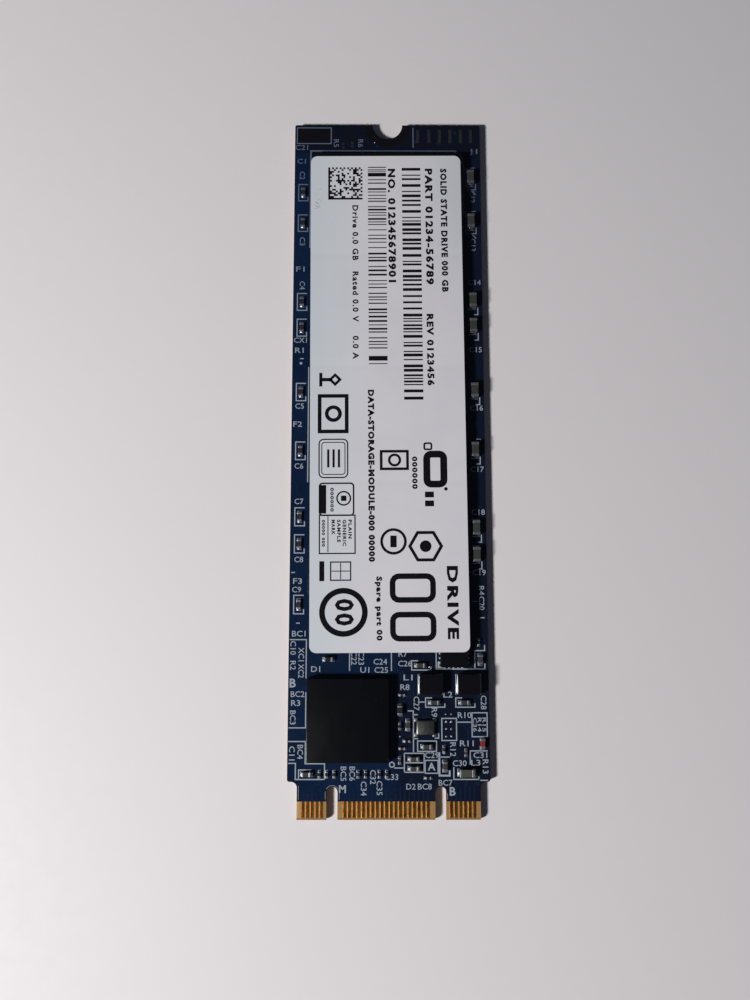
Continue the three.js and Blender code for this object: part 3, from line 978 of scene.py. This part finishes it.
def follow_the_film(mesh):
    """Cuts the print across each dip of the film, then lowers it with the film."""
    for bottom, top in FILM_GAPS:
        for i in range(SAG_CUTS + 1):
            y = bottom + (top - bottom) * i / SAG_CUTS
            everything = mesh.verts[:] + mesh.edges[:] + mesh.faces[:]
            bmesh.ops.bisect_plane(mesh, geom=everything, plane_co=(0, y, 0), plane_no=(0, 1, 0))
    for vert in mesh.verts:
        vert.co.z -= label_sag(vert.co.y)


# Print on the label, all of it generic: words and digits that read down the label, then plain marks.
LABEL_LINES = (
    # text, x, from y, to y, height of capitals, extra weight
    ("SOLID STATE DRIVE 000 GB", 6.67, 33.8, 18.7, 0.68, 0.05),
    ("PART 01234-56789", 4.94, 33.8, 19.6, 0.8, 0.055),
    ("REV 0123456", 4.87, 16.1, 7.65, 0.72, 0.05),
    ("NO. 012345678901", 0.6, 33.8, 19.9, 0.8, 0.055),
    ("Drive 0.0 GB   Rated 0.0 V    0.0 A", -3.65, 29.3, 10.8, 0.66, 0.03),
    ("DATA-STORAGE-MODULE-000 00000", -1.95, 7.2, -12.3, 0.62, 0.055),
    ("Spare part 00", -1.25, -13.9, -20.9, 0.58, 0.045),
    ("000000", 2.9, -0.5, -4.2, 0.55, 0.04),
    ("DRIVE", 6.9, -12.8, -20.8, 1.15, 0.07),
    ("000000", -6.35, -4.0, -6.7, 0.36, 0.02),
    ("PLAIN", -4.35, -7.6, -9.7, 0.38, 0.02),
    ("GENERIC", -4.97, -7.6, -10.54, 0.38, 0.02),
    ("SAMPLE", -5.59, -7.6, -10.12, 0.38, 0.02),
    ("MARK", -6.21, -7.6, -9.28, 0.38, 0.02),
    ("00000 000", -7.3, -7.6, -10.6, 0.32, 0.02),
    ("00", -5.0, -16.35, -19.25, 1.95, 0.1))
LABEL_BARS = (
    # two opposite corners
    (-2.17, 32.85, -0.04, 33.3), (-2.17, 10.6, -0.04, 11.15), (-2.17, 10.2, -0.04, 10.3),
    (-7.8, 7.6, -7.45, 9.2), (-7.45, 8.2, -6.4, 8.6), (-6.9, -1.7, -6.65, 0.35), (-6.3, -1.7, -6.05, 0.35),
    (-5.7, -1.7, -5.45, 0.35), (-7.7, -6.9, -7.0, -3.7), (-5.35, -5.5, -4.75, -4.9),
    (-6.85, -11.2, -6.75, -7.2), (-7.75, -14.4, -7.2, -12.2), (-5.45, -14.2, -5.35, -12.4),
    (-6.4, -13.35, -4.4, -13.25), (0.1, -10.7, 0.8, -9.4), (4.0, -5.15, 5.0, -4.5), (4.0, -6.15, 5.0, -5.5))
LABEL_FRAMES = (
    # two opposite corners, line width, corner radius
    (-7.75, 2.4, -4.7, 6.5, 0.42), (-7.8, -2.85, -4.6, 1.5, 0.14, 0.5), (-7.5, -2.5, -4.9, 1.15, 0.1, 0.3),
    (-7.75, -7.1, -3.95, -3.5, 0.17, 0.35), (-7.75, -11.35, -3.8, -7.1, 0.14),
    (-6.5, -14.3, -4.3, -12.3, 0.14), (-0.85, -1.9, 2.1, 0.1, 0.3), (4.25, -3.65, 6.15, -0.25, 0.78, 0.5),
    (4.0, 0.3, 4.8, 1.0, 0.2, 0.15), (0.3, -16.5, 4.75, -13.9, 0.62, 0.7),
    (0.3, -20.7, 4.75, -18.1, 0.62, 0.7))
LABEL_RINGS = (
    # centre, radius, line width, steps
    (-6.2, 4.45, 0.75, 0.42), (-5.05, -5.2, 0.75, 0.17), (-5.1, -17.8, 2.35, 0.62, 56),
    (0.65, -0.9, 0.6, 0.28), (0.45, -10.05, 1.32, 0.3, 40))
LABEL_DISCS = ((4.0, -10.6, 0.65), (6.35, -4.2, 0.2))


def label_marks(ink):
    """Words, and plain geometric marks where such a label has its marks. No mark is a real one."""
    for text, x, start, stop, height, weight in LABEL_LINES:
        ink.text(text, x, (start + stop) / 2, height, -90, weight, start - stop, READING_SPACING)
    for draw, marks in ((ink.bar, LABEL_BARS), (ink.frame, LABEL_FRAMES), (ink.ring, LABEL_RINGS),
                        (ink.disc, LABEL_DISCS)):
        for mark in marks:
            draw(*mark)
    ink.polygon(-6.0, 8.4, 0.55, 4, 0.3)
    ink.polygon(4.0, -10.6, 1.75, 6, 0.34, 0.0)


def stripes(ink, x0, x1, start, stop, widths, gaps, rng):
    """A generic stack of printed bars of random widths: it encodes nothing."""
    y = start
    while y > stop:
        width = rng.choice(widths)
        ink.bar(x0, y - width, x1, y)
        y -= width + rng.choice(gaps)


def module_square(ink, x0, y0, side, count, rng):
    """A generic square of random modules with a solid edge on two sides: it encodes nothing."""
    size = side / count
    last = count - 1
    for row in range(count):
        start = None
        for column in range(count + 1):
            edge = column == 0 or row == 0
            dashed = (row == last and column % 2 == 0) or (column == last and row % 2 == 0)
            inside = row < last and column < last and rng.random() < 0.4
            filled = column < count and (edge or dashed or inside)
            if filled and start is None:
                start = column
            if not filled and start is not None:
                ink.bar(x0 + start * size, y0 + row * size, x0 + column * size, y0 + (row + 1) * size)
                start = None


def scuffs(ink, x, y, rng):
    """A few faint hairlines where the label has been rubbed."""
    for _ in range(14):
        start = Vector((x + rng.uniform(-0.45, 0.45), y + rng.uniform(-1.2, 1.2)))
        way = Vector((rng.uniform(-0.3, 0.3), rng.uniform(-0.3, 0.3)))
        ink.stroke([tuple(start), tuple(start + way)], 0.022)


def label_print():
    """Print laid out like that on such a label, turned with the label and lowered with its film."""
    rng = random.Random(RNG_SEED + 2)
    ink = Print(INK, INK_RISE, LABEL_HIGH.z)
    module_square(ink, -6.8, 30.0, 4.0, 18, rng)
    stripes(ink, -2.17, -0.04, 34.05, 33.45, (0.08, 0.12), (0.12, 0.2), rng)
    stripes(ink, -2.17, -0.04, 32.5, 11.5, (0.11, 0.14, 0.22), (0.2, 0.3, 0.55), rng)
    stripes(ink, 1.8, 3.98, 33.9, 6.3, (0.14, 0.24, 0.34), (0.17, 0.3, 0.5), rng)
    label_marks(ink)
    scuffs(ink, -8.0, 30.0, rng)
    turn = Matrix.Rotation(LABEL_TURN, 4, "Z")
    around = Vector((LABEL_CENTRE.x, LABEL_CENTRE.y, 0))
    bmesh.ops.rotate(ink.piece.mesh, cent=around, matrix=turn, verts=ink.piece.mesh.verts)
    follow_the_film(ink.piece.mesh)
    ink.piece.finish("product_label_print", "label")


# ---- Packages ----

SUBSTRATE_HEIGHT = 0.2
SUBSTRATE_INSET = 0.05
BALL_LEVELS = 5
BALL_LEAN = 50
BALL_BULGE = 0.62
BALL_MARGIN = 0.3
LEAD_PITCH = 0.5
LEADS_PER_SIDE = 5


def ball(piece, x, y, low, high):
    """A solder ball squeezed between the board and a package: a barrel with a bulging side."""
    height = high - low
    rings = []
    for i in range(BALL_LEVELS + 1):
        share = i / BALL_LEVELS
        radius = height * BALL_BULGE * cos(radians(BALL_LEAN * (2 * share - 1)))
        rings.append(at_height(circle(x, y, radius, BALL_STEPS), low + height * share))
    piece.loft(rings, smooth=True)


def ball_grid(name, node, columns, rows, depth):
    """Solder balls under a package, in the outer `depth` rings of a grid."""
    low, high = node_box(node)
    size = high - low
    piece = Piece(SOLDER)
    for i in range(columns):
        for j in range(rows):
            if min(i, j, columns - 1 - i, rows - 1 - j) < depth:
                x = low.x + BALL_MARGIN + (size.x - 2 * BALL_MARGIN) * i / (columns - 1)
                y = low.y + BALL_MARGIN + (size.y - 2 * BALL_MARGIN) * j / (rows - 1)
                ball(piece, x, y, low.z, high.z)
    piece.finish(name, "solder", node)


def moulded_package(name, node, dimple):
    """A laminate substrate with a moulded block on it, and a round dimple near the first corner."""
    low, high = box = node_box(node)
    split = low.z + SUBSTRATE_HEIGHT
    piece = Piece(MOULD, SUBSTRATE)
    piece.layer(box, 0, low.z, split, 1, bevel=0.02)
    piece.layer(box, SUBSTRATE_INSET, split - OVERLAP, high.z, 0, bevel=0.06, segments=3)
    piece.dimple(*dimple, 0.26, 0.3, 28, high.z)
    piece.finish(name, "chip_package", node, smooth_angle=50)


def memory_packages():
    for i, (low, high) in enumerate(PACKAGES, 1):
        node = f"flash_memory_{i}"
        moulded_package(f"{node}_package", node, (low.x + 0.8, high.y - 0.8))
        ball_grid(f"flash_solder_balls_{i}", f"flash_solder_joints_{i}", 16, 11, 3)


def controller():
    low, high = node_box("controller_chip")
    moulded_package("controller_package", "controller_chip", (high.x - 0.7, low.y + 0.7))
    ball_grid("controller_solder_balls", "controller_solder_joints", 15, 15, 3)


def regulator():
    """A leadless package: a moulded block with flush leads round its foot."""
    low, high = box = node_box("power_regulator_chip")
    centre = (low + high) / 2
    piece = Piece(MOULD, TIN)
    piece.layer(box, 0, low.z + 0.05, high.z, 0, bevel=0.03)
    reach, half_lead = 0.14, 0.12
    for i in range(LEADS_PER_SIDE):
        along = (i - (LEADS_PER_SIDE - 1) / 2) * LEAD_PITCH
        for side in (low, high):
            for x, y, half_x, half_y in ((side.x, centre.y + along, reach, half_lead),
                                         (centre.x + along, side.y, half_lead, reach)):
                piece.block((x - half_x, y - half_y, low.z), (x + half_x, y + half_y, low.z + 0.18),
                            1, bevel=0.02)
    piece.dimple(low.x + 0.45, low.y + 0.45, 0.12, 0.15, 20, high.z)
    piece.finish("power_regulator_package", "chip_package", "power_regulator_chip")


# ---- Two-ended chips ----

CORE_SHY = 0.015
CORE_IN_CAP = 0.4
CAP_LIFT = 0.01
CAP_OVERLAP = 0.008
COAT_SHY = 0.008
COAT_DEPTH = 0.06
FILLET_STEPS = 6
FILLET_FOOT = 0.015
FILLET_TAPER = 0.12
FILLET_HOLLOW = 2.2
LAND_HEIGHT = 0.02
LAND_WIDER = 1.06
LAND_BEYOND = 0.04
CHIP_KINDS = {
    "capacitor": ("capacitor", CERAMIC, CERAMIC),
    "dark capacitor": ("capacitor", DARK_CERAMIC, DARK_CERAMIC),
    "olive capacitor": ("capacitor", OLIVE, OLIVE),
    "resistor": ("resistor", ALUMINA, GLAZE),
    "light": ("status_light", LENS, LENS),
}
CHIP_CAPS = {0.6: 0.15, 1.0: 0.23, 1.6: 0.3}
RESISTORS = ("label_edge_resistor", "controller_side_resistor",
             *(f"small_resistor_{i}" for i in range(1, 8)))
OTHER_CAPACITORS = ("regulator_input_capacitor", "regulator_side_capacitor", "inductor_1_output_capacitor",
                    "inductor_2_output_capacitor", "crystal_load_capacitor", "filter_capacitor_1",
                    "filter_capacitor_2", "filter_capacitor_3", "corner_capacitor")
SMALL, MEDIUM = (0.6, 0.3, 0.3), (1.0, 0.5, 0.35)
UNMODELLED_CHIPS = ((2.1, -30.0, MEDIUM, True), (1.2, -30.12, SMALL, True), (1.2, -33.75, SMALL, True),
                    (6.02, -32.6, SMALL, True), (8.4, -32.95, SMALL, True), (2.0, -31.72, SMALL, False),
                    (1.48, -32.5, SMALL, False), (4.28, -35.6, SMALL, False), (1.5, -26.8, SMALL, False),
                    (9.95, -21.1, SMALL, True))


def fillet(piece, x, way, half_width, height, run, slot):
    """Solder climbing a part's end in a hollow curve. `way` is 1 towards +X and -1 towards -X."""
    rings = []
    for i in range(FILLET_STEPS + 1):
        share = i / FILLET_STEPS
        out = x + way * run * share
        rise = FILLET_FOOT + height * (1 - share) ** FILLET_HOLLOW
        half = half_width * (1 - FILLET_TAPER * (1 - share))
        rings.append([(out, -half, 0.0), (out, half, 0.0), (out, half * 0.9, rise), (out, -half * 0.9, rise)])
    piece.loft(rings, slot, smooth=True)


def chip(name, low, high, cap, kind, *nodes):
    """A ceramic chip lying between two corners, its metal ends soldered down to their lands."""
    slot_name, body, glaze = CHIP_KINDS[kind]
    size = high - low
    upright = size.y > size.x
    length, width = (size.y, size.x) if upright else (size.x, size.y)
    half, side = length / 2, width / 2
    run = 0.09 + length * 0.05
    core = half - cap + cap * CORE_IN_CAP
    piece = Piece(body, TIN, SOLDER, glaze)
    piece.crossbar(-core, core, side - CORE_SHY, LAND_HEIGHT, size.z - CORE_SHY, 0, bevel=0.02)
    for way in (-1, 1):
        piece.crossbar(way * half, way * (half - cap), side, CAP_LIFT, size.z, 1,
                       bevel=min(0.045, cap * 0.3), segments=3)
        fillet(piece, way * (half - CAP_OVERLAP), way, side, size.z / 2, run, 2)
        piece.crossbar(way * (half - cap * 0.9), way * (half + run + LAND_BEYOND), side * LAND_WIDER,
                       0.0, LAND_HEIGHT, 2, bevel=0.008)
    if glaze is not body:
        coat = half - cap * 0.8
        piece.crossbar(-coat, coat, side - COAT_SHY, size.z - COAT_DEPTH, size.z - COAT_SHY / 2,
                       3, bevel=0.01)
    centre = (low + high) / 2
    piece.settle((centre.x, centre.y, low.z), 90 if upright else 0)
    piece.finish(name, slot_name, *nodes)


def node_chip(node, kind):
    low, high = node_box(node)
    length = max(high.x - low.x, high.y - low.y)
    chip(f"{node}_chip", low, high, CHIP_CAPS[round(length, 1)], kind, node)


def all_chips():
    for i in range(1, 10):
        node_chip(f"left_capacitor_{i}", "dark capacitor")
    for i in range(1, 9):
        node_chip(f"right_capacitor_{i}", "capacitor")
    for node in OTHER_CAPACITORS:
        node_chip(node, "capacitor")
    for node in RESISTORS:
        node_chip(node, "resistor")
    node_chip("supply_capacitor", "olive capacitor")
    node_chip("status_light", "light")
    for i, (x, y, (length, width, height), upright) in enumerate(UNMODELLED_CHIPS, 1):
        across, along = (width, length) if upright else (length, width)
        low = Vector((x - across / 2, y - along / 2, TOP))
        high = Vector((x + across / 2, y + along / 2, TOP + height))
        chip(f"minor_chip_{i}", low, high, CHIP_CAPS[length], "capacitor" if i % 2 else "resistor")


# ---- Inductors and crystal ----

INDUCTOR_LANDS = ((1, 0.1), (2, 0.17))
TERMINAL_DEPTH = 0.3
TERMINAL_HEIGHT = 0.55
LID_FLANGE = 0.05


def inductor(index, reach):
    """A pressed ferrite block whose flat terminals fold up both ends, on lands that reach beyond them."""
    node = f"power_inductor_{index}"
    low, high = node_box(node)
    half, side, height = (high - low) * Vector((0.5, 0.5, 1))
    place = ((low.x + high.x) / 2, (low.y + high.y) / 2, low.z)
    solder = Piece(SOLDER)
    body = Piece(FERRITE, TIN, SOLDER)
    body.crossbar(0.03 - half, half - 0.03, side, 0.05, height, 0, bevel=0.1, segments=3)
    for way in (-1, 1):
        end = way * half
        body.crossbar(end - way * TERMINAL_DEPTH, end, side - 0.12, 0.0, TERMINAL_HEIGHT, 1, bevel=0.03)
        body.crossbar(end - way * 0.2, end + way * reach, side + 0.03, 0.0, LAND_HEIGHT, 2, bevel=0.008)
        fillet(solder, end - way * 0.01, way, side - 0.05, reach, reach * 0.7, 0)
    solder.settle(place)
    solder.finish(f"{node}_solder", "solder")
    body.settle(place)
    body.finish(f"{node}_body", "ferrite", node)


def crystal():
    """A ceramic tray closed by a welded metal lid, soldered at its four corners."""
    low, high = box = node_box("crystal_oscillator")
    split = low.z + 0.3
    foot = 0.2
    piece = Piece(FERRITE, LID, SOLDER)
    piece.layer(box, 0, low.z, split, 0, bevel=0.03)
    piece.layer(box, 0.04, split - OVERLAP, split + LID_FLANGE, 1, bevel=0.02)
    piece.layer(box, 0.09, split, high.z, 1, bevel=0.05, segments=3)
    for x in (low.x, high.x):
        for y in (low.y, high.y):
            piece.block((x - foot, y - foot, low.z), (x + foot, y + foot, low.z + 0.12),
                        2, bevel=0.05, segments=3)
    piece.finish("crystal_oscillator_can", "metal_lid", "crystal_oscillator", smooth_angle=50)


# ---- Table, light and camera, in metres ----

TABLE_HALF = 1.5
KEY_DISTANCE = 0.41
KEY_ELEVATION = radians(39.2)
KEY_AZIMUTH = radians(210)
KEY_RADIUS = 0.032
KEY_POWER = 2.08
KEY_COLOUR = (1.0, 0.985, 0.975)
FILL_COLOUR = (0.62, 0.72, 1.0)
FILL_STRENGTH = 0.055
CAMERA_PLACE = (-0.0020210, -0.0202384, 0.1056007)
CAMERA_TURN = (8.1476, -0.2942, 0.0042)
CAMERA_LENS = 33.819


def table():
    sheet = bmesh.new()
    bmesh.ops.create_grid(sheet, x_segments=24, y_segments=24, size=TABLE_HALF)
    data = bpy.data.meshes.new("table")
    sheet.to_mesh(data)
    sheet.free()
    data.materials.append(table_finish())
    placed("table", data)


def key_light():
    """One softbox close to the drive, from the left and a little below, so the table darkens to the right."""
    lamp = bpy.data.lights.new("key", "AREA")
    lamp.shape = "DISK"
    lamp.size = KEY_RADIUS * 2
    lamp.energy = KEY_POWER
    lamp.color = KEY_COLOUR
    level = cos(KEY_ELEVATION)
    away = Vector((cos(KEY_AZIMUTH) * level, sin(KEY_AZIMUTH) * level, sin(KEY_ELEVATION)))
    holder = placed("key", lamp)
    holder.location = away * KEY_DISTANCE
    holder.rotation_euler = away.to_track_quat("Z", "Y").to_euler()


def room_fill():
    world = bpy.data.worlds.new("room")
    world.use_nodes = True
    background = world.node_tree.nodes["Background"]
    background.inputs["Color"].default_value = (*FILL_COLOUR, 1.0)
    background.inputs["Strength"].default_value = FILL_STRENGTH
    bpy.context.scene.world = world
    bpy.context.scene.view_settings.view_transform = "Standard"


def camera():
    lens = bpy.data.cameras.new("camera")
    lens.lens = CAMERA_LENS
    lens.clip_start = 0.001
    lens.clip_end = 10
    holder = placed("camera", lens)
    holder.location = CAMERA_PLACE
    holder.rotation_euler = [radians(angle) for angle in CAMERA_TURN]
    bpy.context.scene.camera = holder


dress_board()
for side in ("top", "bottom"):
    for part in CONTACT_BLOCKS:
        contact_pads(side, part)
top_copper()
under_copper()
top_legend()
under_legend()
label_film()
label_print()
memory_packages()
controller()
regulator()
for index, reach in INDUCTOR_LANDS:
    inductor(index, reach)
crystal()
all_chips()
table()
key_light()
room_fill()
camera()
